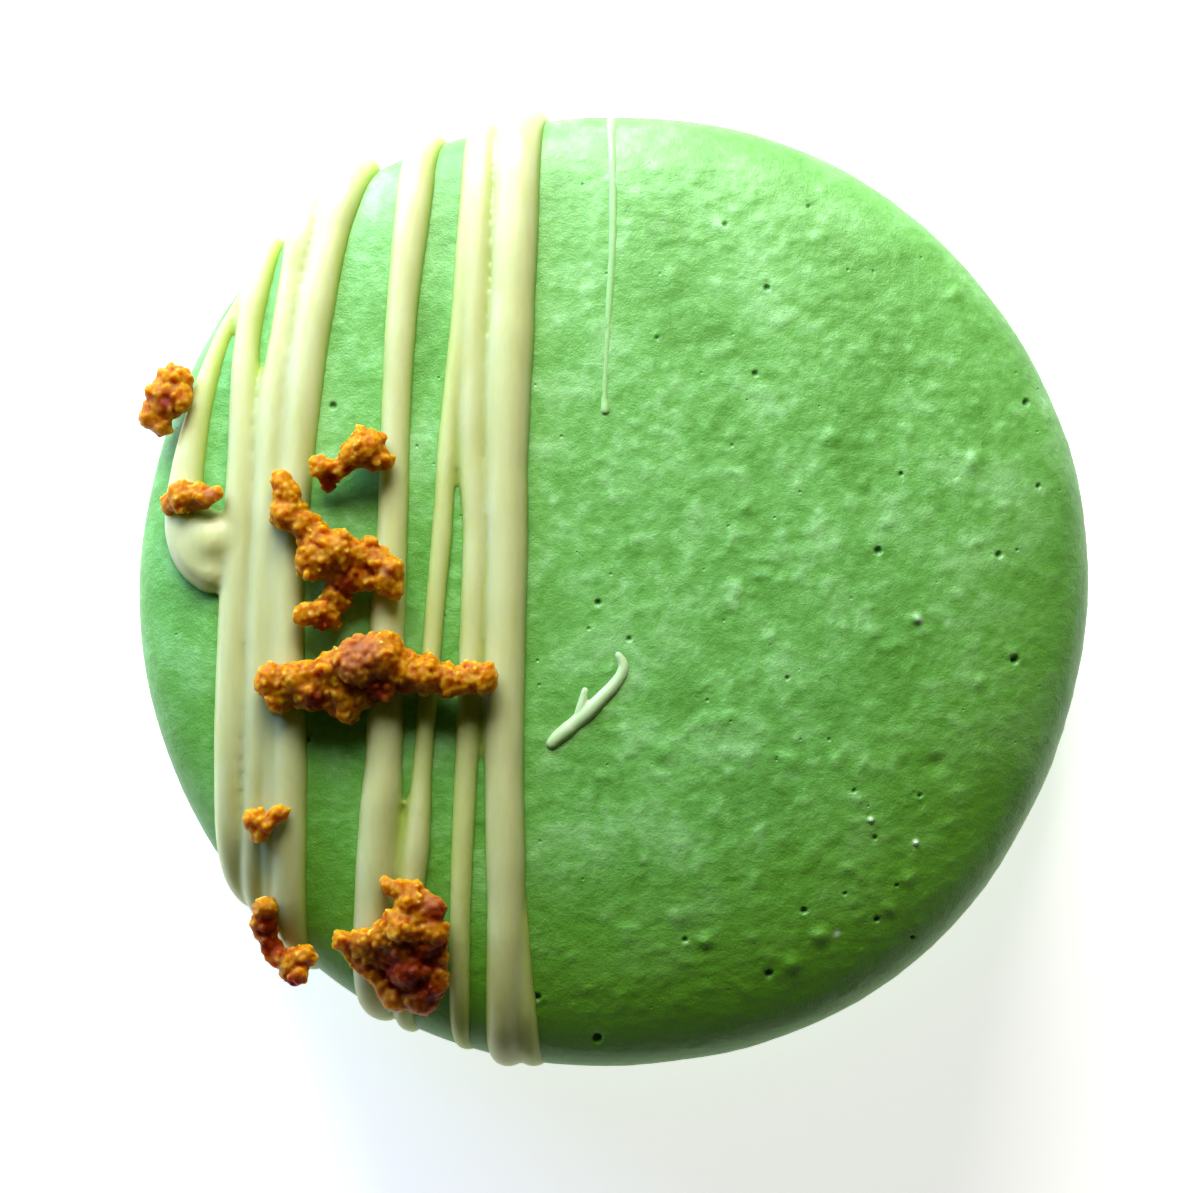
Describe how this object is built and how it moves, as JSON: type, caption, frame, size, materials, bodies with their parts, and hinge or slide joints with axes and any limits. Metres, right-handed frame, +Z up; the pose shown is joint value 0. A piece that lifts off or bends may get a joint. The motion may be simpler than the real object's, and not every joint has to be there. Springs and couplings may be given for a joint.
{
  "type": "french macaron",
  "caption": "Round almond meringue sandwich biscuit with a cream filling, drizzled with white chocolate and strewn with toasted crumbs on its upper side.",
  "frame": {"origin": "middle of the small flat on the lower shell that the macaron rests on", "axes": "+Z is up through both shells, the drizzle runs along Y, and the crumbs lie on the -X side"},
  "size_m": [0.0476, 0.0478, 0.0247],
  "materials": {
    "green_shell": "satin",
    "cream": "satin",
    "white_chocolate": "satin",
    "toasted_crumb": "matte"
  },
  "bodies": {
    "root": {"bottom_shell": "green_shell", "cream_filling": "cream", "top_shell": "green_shell", "crumb_left_rim": "toasted_crumb", "crumb_left_blob": "toasted_crumb", "crumb_bridge": "toasted_crumb", "crumb_chain": "toasted_crumb", "crumb_long": "toasted_crumb", "crumb_small": "toasted_crumb", "crumb_hook": "toasted_crumb", "crumb_large": "toasted_crumb"}
  },
  "joints": []
}
